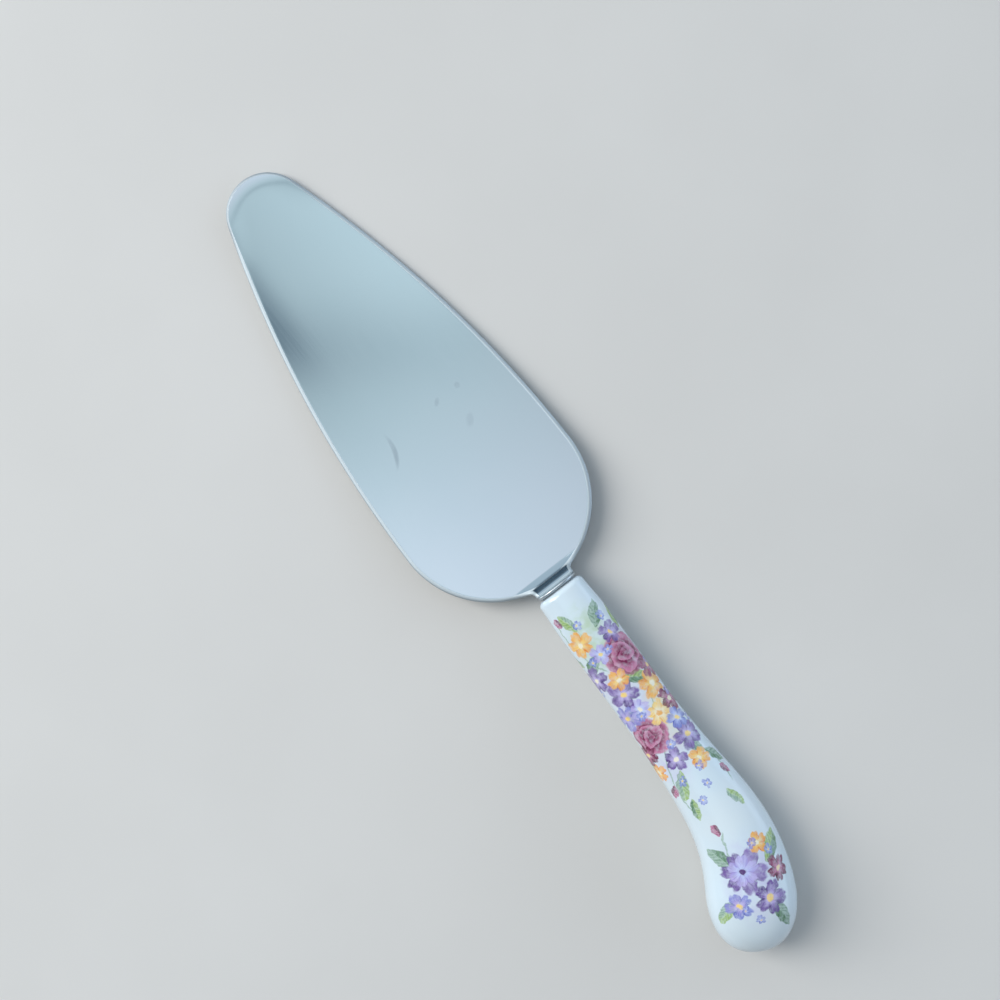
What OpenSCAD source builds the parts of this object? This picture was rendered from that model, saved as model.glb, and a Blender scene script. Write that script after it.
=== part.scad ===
// Cake server: a dished steel leaf with a cranked neck and a tang, a steel collar,
// and a hollow pistol-grip porcelain handle that is cemented onto the tang.
// +X runs from the handle to the tip, +Z is up, and the server lies on the plane z = 0.

/* [Leaf] */
// Length of the leaf, from the tip to the end of its round heel
blade_len = 139.5; // [115:0.5:165]
// Radius of the round heel, half the greatest width of the leaf
heel_r = 28; // [23:0.5:33]
// Radius of the rounded tip
tip_r = 11.6; // [7:0.2:15]
// Thickness of the steel sheet
sheet_t = 1.2; // [0.8:0.1:1.8]
// Height of the underside at the tip above the lowest point of the leaf
tip_rise = 2; // [1:0.1:4]
// Height of the underside at the crank above the lowest point of the leaf
heel_rise = 6.2; // [4:0.1:7.4]
// Height of the long edges above the middle line, at the widest place
dish_depth = 1.8; // [0.8:0.1:3]

/* [Neck and tang] */
// Width of the neck at the collar
neck_w = 12.4; // [9.5:0.1:15]
// Radius of the fillets, in plan, between heel and neck
neck_fillet = 1.5; // [0.8:0.1:3]
// Distance from the end of the heel back to the start of the crank
crank_lead = 3.4; // [2:0.1:6]
// Radius, on the underside, of the upward bend of the crank
crank_up_r = 5; // [3.6:0.1:6]
// Radius, on the underside, of the bend that levels the neck again
crank_level_r = 0.5; // [0.4:0.1:1.6]
// Level stretch of the neck in front of the collar
neck_land = 0.2; // [0.2:0.1:1]
// Width of the tang at the collar
tang_w = 6.4; // [5:0.1:7.4]
// Width of the tang at its end
tang_end_w = 4.6; // [3.5:0.1:6]
// Draft of the shoulders by which the neck seats on the collar
shoulder_draft = 0.05; // [0.02:0.01:0.1]
// Length of the tang behind the collar
tang_len = 56; // [35:1:60]
// Radius of the keying notches in the edges of the tang
notch_r = 0.7; // [0.4:0.1:1]
// Distance between the keying notches
notch_pitch = 14; // [8:1:18]

/* [Collar] */
// Width of the collar
collar_w = 12.4; // [11.5:0.1:13.6]
// Height of the collar
collar_h = 9.6; // [7:0.1:10.6]
// Thickness of the collar, which has a half-round rim
collar_t = 0.9; // [0.7:0.1:2.4]

/* [Cement] */
// Thickness of the cement bed between collar and handle
bed_t = 0.5; // [0.3:0.1:1]
// Distance that the bed stays back from the flat of the mouth
bed_recess = 0.3; // [0.1:0.1:0.8]
// Length of the cement past the end of the tang
plug_past = 4; // [2:0.5:8]

/* [Handle] */
// Length of the handle along its bent middle line
grip_len = 114.5; // [100:0.5:130]
// Width of the handle at its mouth
mouth_w = 14.2; // [13.4:0.1:16]
// Height of the handle at its mouth
mouth_h = 11.2; // [10.4:0.1:13]
// Length over which the mouth widens to the grip
mouth_taper = 12; // [6:1:20]
// Radius of the rounded edge of the mouth
mouth_round = 1.6; // [0.8:0.1:2]
// Width of the straight grip
grip_w = 15.2; // [14:0.1:18]
// Height of the straight grip
grip_h = 12.4; // [11.6:0.1:15]
// Distance from the mouth to the start of the swelling towards the butt
swell_from = 38.5; // [20:0.5:55]
// Width that the swelling flanks run out to at the end of the butt
butt_w = 26; // [21:0.5:32]
// Height that the swelling flanks run out to at the end of the butt
butt_h = 21; // [18.5:0.5:26]
// Length of the rounded end of the butt
butt_round = 19; // [12:0.5:28]
// Lean of the straight grip away from the blade's middle line, in degrees
grip_lean = 1.3; // [0:0.1:3]
// Turn of the butt to the side, in degrees
butt_turn = 32; // [10:1:45]
// Distance from the mouth to the start of the turn
turn_from = 64; // [40:1:80]
// Distance from the mouth to the end of the turn
turn_to = 108; // [90:1:125]
// Thickness of the porcelain wall
wall_t = 2.8; // [2:0.1:3.2]

/* [Fits] */
// Clearance of the tang in the slot of the collar
slot_fit = 0.1; // [0.05:0.05:0.3]
// Clearance between cement and the surfaces that it bonds
bond_gap = 0.03; // [0.01:0.01:0.1]

/* [Hidden] */

$fn = 180;
steel_colour = "#aebfcb";
collar_colour = "#bccad3";
cement_colour = "#77736c";
porcelain_colour = "#eaf1f3";

// Sides of each handle ring, and steps of its middle line
ring_sides = 40;
path_steps = 48;
// Steps across the sheet, and along each bend of the crank, the heel, the sides and the tip
sheet_steps = 8;
crank_steps = 8;
heel_steps = 9;
side_steps = 22;
tip_steps = 12;
// Squareness of the oval section, 2 being an ellipse, and of the rounded butt
oval_power = 2.2;
round_power = 2.3;

// Plan of the leaf, with x = 0 at the tip: the two end circles and the side arc that touches both
heel_x = heel_r - blade_len;
tip_x = -tip_r;
span = tip_x - heel_x;
side_r = (heel_r ^ 2 - tip_r ^ 2 + span ^ 2) / (2 * (heel_r - tip_r));
side_end_x = tip_x + tip_r * span / (side_r - tip_r);
fillet_y = neck_w / 2 + neck_fillet;
fillet_x = heel_x - sqrt((heel_r + neck_fillet) ^ 2 - fillet_y ^ 2);
touch_x = heel_x + (fillet_x - heel_x) * heel_r / (heel_r + neck_fillet);

// Curves of the leaf: the lowest point, the lengthwise radius and the crosswise radius
crank_x = crank_lead - blade_len;
low_x = crank_x * sqrt(tip_rise) / (sqrt(tip_rise) + sqrt(heel_rise));
long_r = ((low_x - crank_x) ^ 2 + heel_rise ^ 2) / (2 * heel_rise);
dish_r = (heel_r ^ 2 + dish_depth ^ 2) / (2 * dish_depth);
heel_angle = asin((low_x - crank_x) / long_r);

// Handle: half sizes, lean and middle line at a distance l from the mouth
function ease(x) = let (u = min(1, max(0, x))) u * u * (3 - 2 * u);
function swell(l, mouth, grip, butt) = (mouth
    + (grip - mouth) * ease(l / mouth_taper)
    + (butt - grip) * ease((l - swell_from) / (grip_len - swell_from))) / 2;
function half_w(l) = swell(l, mouth_w, grip_w, butt_w);
function half_h(l) = swell(l, mouth_h, grip_h, butt_h);
function rounding(l, end, len) =
    let (u = min(1, max(0, (l - end + len) / len)))
    (1 - u ^ round_power) ^ (1 / round_power);
function lean(l) = grip_lean * ease(l / mouth_taper)
    + butt_turn * ease((l - turn_from) / (turn_to - turn_from));
function middle(l) =
    let (steps = [1:path_steps],
         ways = [for (i = steps) let (a = lean(l * (i - 0.5) / path_steps)) [-cos(a), sin(a)]])
    [for (i = steps) 1] * ways * l / path_steps;

// Distances along the handle, from the butt to the mouth outside and back again inside
round_rings = 9;
body_rings = 26;
edge_rings = 5;
round_from = grip_len - butt_round;
round_ls = [for (i = [1:round_rings]) round_from + butt_round * cos(90 * i / round_rings)];
body_ls = [for (i = [1:body_rings]) round_from + (mouth_round - round_from) * i / body_rings];
cavity_end = grip_len - wall_t;
cavity_round = butt_round - wall_t;
cavity_ls = [for (i = [0:body_rings]) round_from * i / body_rings];
cavity_round_ls = [for (i = [1:round_rings - 1]) round_from + cavity_round * sin(90 * i / round_rings)];

// The level handle rests on its butt, so half the greatest height of the butt sets its middle line
axis_z = max([for (l = round_ls) half_h(l) * rounding(l, grip_len, butt_round)]);
reach = max([for (l = round_ls, side = [-1, 1])
    side * half_w(l) * rounding(l, grip_len, butt_round) * sin(lean(l)) - middle(l).x]);

// Crank: two bends that lift the sheet from the heel to the middle line of the handle
half_t = sheet_t / 2;
up_x = crank_x + crank_up_r * sin(heel_angle);
up_z = heel_rise + crank_up_r * cos(heel_angle);
crank_angle = acos((up_z + crank_level_r - axis_z + half_t) / (crank_up_r + crank_level_r));
level_x = up_x - (crank_up_r + crank_level_r) * sin(crank_angle);
level_z = axis_z - half_t - crank_level_r;

// The same curves at mid thickness, and where one runs into the next
long_mid_r = long_r - half_t;
up_mid_r = crank_up_r - half_t;
level_mid_r = crank_level_r + half_t;
leaf_end_x = low_x - long_mid_r * sin(heel_angle);
up_end_x = up_x - up_mid_r * sin(crank_angle);

// Stations along the middle line, and the shift that centres the server on the origin
collar_x = level_x - neck_land;
bed_x = collar_x - collar_t;
mouth_x = bed_x - bed_t;
tang_end_x = bed_x - tang_len;
notch_xs = [for (x = [tang_end_x + notch_pitch / 2 : notch_pitch : bed_x - notch_pitch / 2]) x];
plug_len = tang_len + plug_past - bed_t;
plug_ls = [plug_len, for (i = [body_rings:-1:0]) if (cavity_ls[i] < plug_len) cavity_ls[i]];
centre_x = (reach - mouth_x) / 2;

module centred() {
    translate([centre_x, 0, 0]) children();
}

// Skin through a list of rings that run towards +X, closed at each end by a fan to a point
module ring_solid(rings, first, last) {
    n = len(rings[0]);
    end = len(rings) * n;
    polyhedron(
        points = [each [for (r = rings) each r], first, last],
        faces = [
            for (i = [0:n - 1]) [end, i, (i + 1) % n],
            for (j = [0:len(rings) - 2], i = [0:n - 1])
                let (a = j * n + i, b = j * n + (i + 1) % n) each [[a, a + n, b], [b, a + n, b + n]],
            for (i = [0:n - 1]) [end + 1, end - n + (i + 1) % n, end - n + i]
        ]);
}

// Half width, in plan, of leaf and neck at x, and of the tapering tang
function leaf_half_w(x) =
    x > side_end_x ? sqrt(tip_r ^ 2 - (x - tip_x) ^ 2)
    : x > heel_x ? sqrt(side_r ^ 2 - (x - heel_x) ^ 2) - side_r + heel_r
    : x > touch_x ? sqrt(heel_r ^ 2 - (x - heel_x) ^ 2)
    : x > fillet_x ? fillet_y - sqrt(neck_fillet ^ 2 - (x - fillet_x) ^ 2)
    : neck_w / 2;
function tang_half_w(x) =
    (tang_end_w + (tang_w - tang_end_w) * (x - tang_end_x) / (collar_x - tang_end_x)) / 2;

// Height of the sheet's mid thickness at x, and its tilt there
function sheet_tilt(x) =
    x > leaf_end_x ? asin((x - low_x) / long_mid_r)
    : x > up_end_x ? asin((x - up_x) / up_mid_r)
    : x > level_x ? -asin((x - level_x) / level_mid_r)
    : 0;
function sheet_z(x) =
    let (fall = cos(sheet_tilt(x)))
    x > leaf_end_x ? long_r - long_mid_r * fall
    : x > up_end_x ? up_z - up_mid_r * fall
    : level_z + level_mid_r * fall;

// The dish lifts the sheet towards its edges and fades out along the crank
function dish(x, y) =
    (dish_r - sqrt(dish_r ^ 2 - y ^ 2)) * ease((x - level_x) / (crank_x - level_x));

// Section of the sheet at x: flat faces and half-round edges, thinned at the very tip
function sheet_ring(x, half_w) =
    let (back = max(0, half_t + x), h = sqrt(half_t ^ 2 - back ^ 2), flat = half_w - h,
         tilt = sheet_tilt(x), z = sheet_z(x),
         across = [for (j = [0:sheet_steps]) flat * (2 * j / sheet_steps - 1)],
         edge = [for (a = [-45:45:45]) [flat + h * cos(a), h * sin(a)]])
    [for (p = [
            for (y = across) [y, -h],
            for (e = edge) e,
            for (y = across) [-y, h],
            for (e = edge) -e
        ])
        let (lift = p.y + dish(x, p.x))
        [x - lift * sin(tilt), p.x, z + lift * cos(tilt)]];

// Places and half widths of the sections, from the end of the tang to the tip
tip_turn = acos((side_end_x - tip_x) / tip_r);
heel_turn = asin((heel_x - leaf_end_x) / heel_r);
leaf_xs = [
    for (i = [0:crank_steps]) level_x + level_mid_r * sin(crank_angle * i / crank_steps),
    for (i = [1:crank_steps])
        up_x - up_mid_r * sin(crank_angle + (heel_angle - crank_angle) * i / crank_steps),
    for (i = [1:heel_steps]) heel_x - heel_r * sin(heel_turn * (1 - i / heel_steps)),
    for (i = [1:side_steps]) heel_x + (side_end_x - heel_x) * i / side_steps,
    for (i = [1:tip_steps - 1]) tip_x + tip_r * cos(tip_turn * (1 - i / tip_steps))
];
tang_stations = [
    [tang_end_x, tang_end_w / 2],
    for (x = notch_xs, a = [-90:30:90]) [x + notch_r * sin(a), tang_half_w(x) - notch_r * cos(a)],
    [collar_x, tang_w / 2],
    [collar_x + shoulder_draft, neck_w / 2]
];

module blade() color(steel_colour) centred() ring_solid(
    [
        for (s = tang_stations) sheet_ring(s.x, s.y),
        for (x = leaf_xs) sheet_ring(x, leaf_half_w(x))
    ],
    [tang_end_x, 0, axis_z], [0, 0, sheet_z(0)]);

// One half of the collar's round end, a half disc with a half-round rim
module collar_end() {
    rotate_extrude(angle = 180) {
        square([(collar_h - collar_t) / 2, collar_t]);
        translate([(collar_h - collar_t) / 2, collar_t / 2]) circle(collar_t / 2);
    }
}

module collar() color(collar_colour) centred() difference() {
    translate([bed_x, 0, axis_z]) rotate([90, 0, 90]) {
        flat = collar_w - collar_h;
        translate([flat / 2, 0, 0]) rotate([0, 0, -90]) collar_end();
        translate([-flat / 2, 0, 0]) rotate([0, 0, 90]) collar_end();
        translate([-flat / 2, 0, 0]) rotate([90, 0, 90]) linear_extrude(flat) {
            translate([-(collar_h - collar_t) / 2, 0]) square([collar_h - collar_t, collar_t]);
            for (side = [-1, 1])
                translate([side * (collar_h - collar_t) / 2, collar_t / 2]) circle(collar_t / 2);
        }
    }
    translate([bed_x - collar_t, -tang_w / 2 - slot_fit, axis_z - half_t - slot_fit])
        cube([3 * collar_t, tang_w + 2 * slot_fit, sheet_t + 2 * slot_fit]);
}

// Points of one oval ring with half sizes a and b, square to the middle line at l
function oval(q) = sign(q) * abs(q) ^ (2 / oval_power);
function ring(l, a, b) =
    let (m = middle(l), k = lean(l))
    [for (i = [0:ring_sides - 1])
        let (q = 360 * i / ring_sides, y = a * oval(cos(q)), z = b * oval(sin(q)))
        [m.x + y * sin(k), m.y + y * cos(k), z]];

// A point on the middle line
function on_middle(l) = [middle(l).x, middle(l).y, 0];

// Ring of the outer skin and ring of the cavity
function skin(l) =
    let (k = rounding(l, grip_len, butt_round)) ring(l, half_w(l) * k, half_h(l) * k);
function hollow(l, inset) =
    let (k = rounding(l, cavity_end, cavity_round))
    ring(l, (half_w(l) - inset) * k, (half_h(l) - inset) * k);

module handle() color(porcelain_colour) centred() translate([mouth_x, 0, axis_z]) ring_solid(
    [
        for (l = round_ls) skin(l),
        for (l = body_ls) skin(l),
        for (i = [1:edge_rings])
            let (q = 90 * i / edge_rings, l = mouth_round * (1 - sin(q)), inset = mouth_round * (1 - cos(q)))
            ring(l, half_w(l) - inset, half_h(l) - inset),
        for (l = cavity_ls) hollow(l, wall_t),
        for (l = cavity_round_ls) hollow(l, wall_t)
    ],
    on_middle(grip_len), on_middle(cavity_end));

// Plan of the room that the tang and its keying notches take in the cement
module tang_room() {
    half = tang_w / 2 + bond_gap;
    half_end = tang_end_w / 2 + bond_gap;
    end_x = tang_end_x - bond_gap;
    difference() {
        polygon([[collar_x, half], [collar_x, -half], [end_x, -half_end], [end_x, half_end]]);
        for (x = notch_xs, side = [-1, 1])
            translate([x, side * (tang_half_w(x) + bond_gap)]) circle(notch_r - bond_gap);
    }
}

module cement() color(cement_colour) centred() difference() {
    bed_inset = mouth_round + bed_recess;
    plug_inset = wall_t + bond_gap;
    translate([mouth_x, 0, axis_z]) ring_solid(
        [
            for (l = plug_ls) hollow(l, plug_inset),
            for (l = [0, -bed_t]) ring(l, half_w(0) - bed_inset, half_h(0) - bed_inset)
        ],
        on_middle(plug_len), on_middle(-bed_t));
    translate([0, 0, axis_z - half_t - bond_gap]) linear_extrude(sheet_t + 2 * bond_gap) tang_room();
}

blade();
collar();
cement();
handle();
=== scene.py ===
# Cake server: a dished steel blade cemented into a hollow porcelain handle with flower prints
from math import acos, asin, atan, atan2, cos, pi, radians, sin, sqrt, tau

import bmesh
import bpy
from mathutils import Matrix, Vector


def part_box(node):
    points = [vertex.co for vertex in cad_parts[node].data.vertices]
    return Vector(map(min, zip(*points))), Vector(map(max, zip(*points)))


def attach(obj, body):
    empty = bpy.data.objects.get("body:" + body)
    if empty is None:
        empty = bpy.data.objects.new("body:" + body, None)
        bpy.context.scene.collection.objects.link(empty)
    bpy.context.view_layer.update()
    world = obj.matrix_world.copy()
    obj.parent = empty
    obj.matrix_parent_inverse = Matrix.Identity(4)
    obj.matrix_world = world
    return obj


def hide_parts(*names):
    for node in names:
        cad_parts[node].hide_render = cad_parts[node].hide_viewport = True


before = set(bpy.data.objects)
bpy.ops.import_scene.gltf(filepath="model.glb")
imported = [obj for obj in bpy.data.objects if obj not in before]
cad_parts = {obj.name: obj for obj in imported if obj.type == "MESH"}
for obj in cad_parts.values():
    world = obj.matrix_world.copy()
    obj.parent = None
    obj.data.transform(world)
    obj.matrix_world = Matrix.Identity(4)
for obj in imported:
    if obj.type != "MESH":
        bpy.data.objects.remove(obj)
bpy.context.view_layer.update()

# Blade: one stamping of satin stainless sheet. The leaf is dished and bowed lengthwise, its edge is
# tumbled to a soft round, and at the heel it cranks up into a neck with shoulders and a notched tang.
BLADE_LEN = 0.1395
TIP_R = 0.0116
SHEET_T = 0.0012
TIP_RISE = 0.002
HEEL_RISE = 0.0062
DISH_DEPTH = 0.0018
NECK_W = 0.0124
NECK_FILLET = 0.0015
CRANK_LEAD = 0.0034
CRANK_UP_R = 0.005
CRANK_LEVEL_R = 0.0005
TANG_W = 0.0064
TANG_END_W = 0.0046
SHOULDER_DRAFT = 0.00005
NOTCH_R = 0.0007
NOTCH_PITCH = 0.014
EDGE_ROUND = 0.0011
TIP_EDGE_SHARE = 0.33
NECK_EDGE_SHARE = 0.8
NECK_EDGE_FADE = 0.006
TUMBLED_W = 0.0007
TIP_ROLL_W = 0.006
TIP_ROLL_DEPTH = 0.0003
TIP_ROLL_FADE = 0.022

# The frame gives the tip, the half width of the heel, the end of the tang, the front of the collar and
# the height of the handle's middle line
blade_low, blade_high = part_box("blade")
collar_low, collar_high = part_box("collar")
tip_place = blade_high.x
heel_r = blade_high.y
axis_z = (collar_low.z + collar_high.z) / 2
collar_x = collar_high.x - tip_place
tang_end_x = blade_low.x - tip_place

# Plan, with x = 0 at the tip: two end circles joined by side arcs, and the fillets of the neck
half_t = SHEET_T / 2
heel_x = heel_r - BLADE_LEN
tip_x = -TIP_R
span = tip_x - heel_x
side_r = (heel_r ** 2 - TIP_R ** 2 + span ** 2) / (2 * (heel_r - TIP_R))
side_end_x = tip_x + TIP_R * span / (side_r - TIP_R)
tip_turn = acos((side_end_x - tip_x) / TIP_R)
fillet_y = NECK_W / 2 + NECK_FILLET
fillet_x = heel_x - sqrt((heel_r + NECK_FILLET) ** 2 - fillet_y ** 2)
touch_x = heel_x + (fillet_x - heel_x) * heel_r / (heel_r + NECK_FILLET)

# Curves in side view at mid thickness: the long bow of the leaf, then the two bends of the crank
crank_x = CRANK_LEAD - BLADE_LEN
low_x = crank_x * sqrt(TIP_RISE) / (sqrt(TIP_RISE) + sqrt(HEEL_RISE))
long_r = ((low_x - crank_x) ** 2 + HEEL_RISE ** 2) / (2 * HEEL_RISE)
dish_r = (heel_r ** 2 + DISH_DEPTH ** 2) / (2 * DISH_DEPTH)
heel_angle = asin((low_x - crank_x) / long_r)
up_x = crank_x + CRANK_UP_R * sin(heel_angle)
up_z = HEEL_RISE + CRANK_UP_R * cos(heel_angle)
crank_angle = acos((up_z + CRANK_LEVEL_R - axis_z + half_t) / (CRANK_UP_R + CRANK_LEVEL_R))
level_x = up_x - (CRANK_UP_R + CRANK_LEVEL_R) * sin(crank_angle)
level_z = axis_z - half_t - CRANK_LEVEL_R
long_mid_r = long_r - half_t
up_mid_r = CRANK_UP_R - half_t
level_mid_r = CRANK_LEVEL_R + half_t
leaf_end_x = low_x - long_mid_r * sin(heel_angle)
up_end_x = up_x - up_mid_r * sin(crank_angle)


def ease(share):
    share = min(1, max(0, share))
    return share * share * (3 - 2 * share)


def tang_half_width(x):
    return (TANG_END_W + (TANG_W - TANG_END_W) * (x - tang_end_x) / (collar_x - tang_end_x)) / 2


def half_width(x):
    if x > heel_x:
        return sqrt(side_r ** 2 - (x - heel_x) ** 2) - side_r + heel_r
    if x > touch_x:
        return sqrt(heel_r ** 2 - (x - heel_x) ** 2)
    if x > fillet_x:
        return fillet_y - sqrt(NECK_FILLET ** 2 - (x - fillet_x) ** 2)
    return NECK_W / 2


def from_edge(x, y):
    """Distance from a point of the plan to the nearest edge of leaf or neck."""
    y = abs(y)
    if x > tip_x and atan2(y, x - tip_x) < tip_turn:
        return TIP_R - sqrt((x - tip_x) ** 2 + y ** 2)
    if x > heel_x:
        return side_r - sqrt((x - heel_x) ** 2 + (y + side_r - heel_r) ** 2)
    on_heel = heel_r - sqrt((x - heel_x) ** 2 + y ** 2)
    if x > touch_x or (x > fillet_x and y > fillet_y):
        return max(0, on_heel)
    if x > fillet_x:
        return max(0, sqrt((x - fillet_x) ** 2 + (y - fillet_y) ** 2) - NECK_FILLET)
    return max(0, NECK_W / 2 - y)


def sheet_line(x):
    """Height and tilt of the sheet's mid thickness."""
    if x > leaf_end_x:
        tilt = asin((x - low_x) / long_mid_r)
        return long_r - long_mid_r * cos(tilt), tilt
    if x > up_end_x:
        tilt = asin((x - up_x) / up_mid_r)
        return up_z - up_mid_r * cos(tilt), tilt
    if x > level_x:
        tilt = -asin((x - level_x) / level_mid_r)
        return level_z + level_mid_r * cos(tilt), tilt
    return axis_z, 0


def rows_between(start, end, count):
    return [start + (end - start) * i / count for i in range(1, count + 1)]


# Rows of the sheet from the end of the tang to the tip, each with its half width and forward bow.
# Towards the tip the rows bow more and more, until the last one is the tip's own arc.
TANG_END_ROWS = 6
NOTCH_ROWS = 8
LEVEL_ROWS = 14
UP_ROWS = 16
HEEL_ROWS = 26
LEAF_ROWS = 72
COLUMNS = 72
BOW_POWER = 6
SAME_PLACE = 1e-7
rows = [(tang_end_x, TANG_END_W / 2, 0)]
for turn in rows_between(0, pi / 2, TANG_END_ROWS):
    x = tang_end_x + half_t * (1 - cos(turn))
    rows.append((x, tang_half_width(x), 0))
notch_x = tang_end_x + NOTCH_PITCH / 2
while notch_x < collar_x - NOTCH_PITCH / 2:
    for turn in rows_between(-pi / 2, pi / 2, NOTCH_ROWS):
        notched = tang_half_width(notch_x) - NOTCH_R * cos(turn)
        rows.append((notch_x + NOTCH_R * sin(turn), notched, 0))
    notch_x += NOTCH_PITCH
rows.append((collar_x, TANG_W / 2, 0))
rows.append((collar_x + SHOULDER_DRAFT, NECK_W / 2, 0))
crank_rows = [level_x]
crank_rows += [level_x + level_mid_r * sin(a) for a in rows_between(0, crank_angle, LEVEL_ROWS)]
crank_rows += [up_x - up_mid_r * sin(a) for a in rows_between(crank_angle, heel_angle, UP_ROWS)]
heel_turn = asin((heel_x - leaf_end_x) / heel_r)
crank_rows += [heel_x - heel_r * sin(a) for a in rows_between(heel_turn, 0, HEEL_ROWS)]
rows += [(x, half_width(x), 0) for x in crank_rows]
for turn in rows_between(0, pi / 2, LEAF_ROWS):
    x = heel_x + (side_end_x - heel_x) * sin(turn)
    rows.append((x, half_width(x), -side_end_x * sin(turn) ** BOW_POWER))

sheet = bmesh.new()
edge_layer = sheet.verts.layers.float.new("edge_share")
UPPER = 1
LOWER = -1
grids = {}
for face in (UPPER, LOWER):
    made = bmesh.ops.create_grid(sheet, x_segments=len(rows) - 1, y_segments=COLUMNS, size=1)
    grids[face] = made["verts"]
for face, verts in grids.items():
    for vert in verts:
        row_x, reach, bow = rows[round((vert.co.x + 1) / 2 * (len(rows) - 1))]
        across = sin(vert.co.y * pi / 2)
        x, y = row_x, across * reach
        if bow > SAME_PLACE:
            bow_r = (reach ** 2 + bow ** 2) / (2 * bow)
            turn = across * 2 * atan(bow / reach)
            x, y = row_x + bow - bow_r * (1 - cos(turn)), bow_r * sin(turn)
        if x <= collar_x:
            margin = min(reach * (1 - abs(across)), x - tang_end_x)
            at_tip = 0
            rim = half_t
        else:
            margin = max(0, from_edge(x, y))
            at_tip = ease(1 + x / TIP_ROLL_FADE)
            at_neck = ease(1 - (x - touch_x) / NECK_EDGE_FADE)
            rim = EDGE_ROUND * (1 + (TIP_EDGE_SHARE - 1) * at_tip + (NECK_EDGE_SHARE - 1) * at_neck)
        thick = half_t * sqrt(1 - (1 - min(1, margin / rim)) ** 2)
        if face == UPPER:
            rolled = at_tip * max(0, 1 - margin / TIP_ROLL_W) ** 2
            thick -= min(thick, TIP_ROLL_DEPTH * rolled)
        height, tilt = sheet_line(x)
        dish = (dish_r - sqrt(dish_r ** 2 - y ** 2)) * ease((x - level_x) / (crank_x - level_x))
        lift = dish + face * thick
        vert.co = tip_place + x - lift * sin(tilt), y, height + lift * cos(tilt)
        vert[edge_layer] = margin / max(rim, TUMBLED_W)
bmesh.ops.remove_doubles(sheet, verts=sheet.verts, dist=SAME_PLACE)
bmesh.ops.recalc_face_normals(sheet, faces=sheet.faces)

# A corner quad with one inner vertex is cut from it, so that upper and lower face share no diagonal
for side in list(sheet.faces):
    corners = list(side.verts)
    inner = [vert for vert in corners if vert[edge_layer] > 0]
    if len(corners) == 4 and len(inner) == 1:
        opposite = corners[corners.index(inner[0]) - 2]
        bmesh.utils.face_split(side, inner[0], opposite)
for side in sheet.faces:
    side.smooth = True


def new_piece(name, shape):
    mesh = bpy.data.meshes.new(name)
    shape.to_mesh(mesh)
    shape.free()
    piece = bpy.data.objects.new(name, mesh)
    bpy.context.scene.collection.objects.link(piece)
    return piece


blade = new_piece("steel_blade", sheet)


def wire(tree, socket, value):
    """A socket takes another node's output, or else a plain value."""
    if isinstance(value, bpy.types.NodeSocket):
        tree.links.new(value, socket)
    else:
        socket.default_value = value


def add(tree, kind, inputs=None, **settings):
    node = tree.nodes.new("ShaderNode" + kind)
    for name, value in settings.items():
        setattr(node, name, value)
    for name, value in (inputs or {}).items():
        wire(tree, node.inputs[name], value)
    return node


def calc(tree, operation, *values):
    node = tree.nodes.new("ShaderNodeMath")
    node.operation = operation
    for socket, value in zip(node.inputs, values):
        wire(tree, socket, value)
    return node.outputs[0]


def fade(tree, value, start, end, low=0.0, high=1.0):
    """Goes smoothly from low to high as value goes from start to end."""
    node = add(tree, "MapRange", interpolation_type="SMOOTHSTEP", clamp=False)
    for socket, given in zip(node.inputs, (value, start, end, low, high)):
        wire(tree, socket, given)
    return node.outputs[0]


# Of the Mix node's sockets, these are the share, the two colours and the mixed colour
TINT_INPUTS = (0, 6, 7)
TINT_OUTPUT = 2


def tint(tree, share, below, above, blend="MIX"):
    node = add(tree, "Mix", data_type="RGBA", blend_type=blend)
    for number, given in zip(TINT_INPUTS, (share, below, above)):
        wire(tree, node.inputs[number], given)
    return node.outputs[TINT_OUTPUT]


def noise(tree, place, fineness, detail, **settings):
    """Cloudy value round one half."""
    inputs = {"Vector": place, "Scale": fineness, "Detail": detail, **settings}
    return add(tree, "TexNoise", inputs).outputs["Fac"]


def raised(tree, height, strength, depth):
    """Normal of a surface that a height lifts by up to a depth."""
    return add(tree, "Bump", {"Height": height, "Strength": strength, "Distance": depth}).outputs[0]


def new_material(name):
    material = bpy.data.materials.new(name)
    material.use_nodes = True
    tree = material.node_tree
    return material, tree, tree.nodes["Principled BSDF"]


def new_group(name, inputs, outputs):
    group = bpy.data.node_groups.new(name, "ShaderNodeTree")
    for label, kind in inputs:
        group.interface.new_socket(label, in_out="INPUT", socket_type="NodeSocket" + kind)
    for label, kind in outputs:
        group.interface.new_socket(label, in_out="OUTPUT", socket_type="NodeSocket" + kind)
    return group, group.nodes.new("NodeGroupInput").outputs, group.nodes.new("NodeGroupOutput").inputs


def use(tree, group, **inputs):
    node = tree.nodes.new("ShaderNodeGroup")
    node.node_tree = group
    for name, value in inputs.items():
        wire(tree, node.inputs[name], value)
    return node.outputs


# Marks and prints are drawn on two lengths, along and aside. Each is turned to its own middle line first
SURFACE_INPUTS = [("Along", "Float"), ("Aside", "Float")]
PLACE_INPUTS = [("PlaceAlong", "Float"), ("PlaceAside", "Float"), ("Turn", "Float")]


def own_place(tree, given):
    along = calc(tree, "SUBTRACT", given["Along"], given["PlaceAlong"])
    aside = calc(tree, "SUBTRACT", given["Aside"], given["PlaceAside"])
    c = calc(tree, "COSINE", given["Turn"])
    s = calc(tree, "SINE", given["Turn"])
    x = calc(tree, "MULTIPLY_ADD", aside, s, calc(tree, "MULTIPLY", along, c))
    y = calc(tree, "SUBTRACT", calc(tree, "MULTIPLY", aside, c), calc(tree, "MULTIPLY", along, s))
    return x, y


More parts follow.
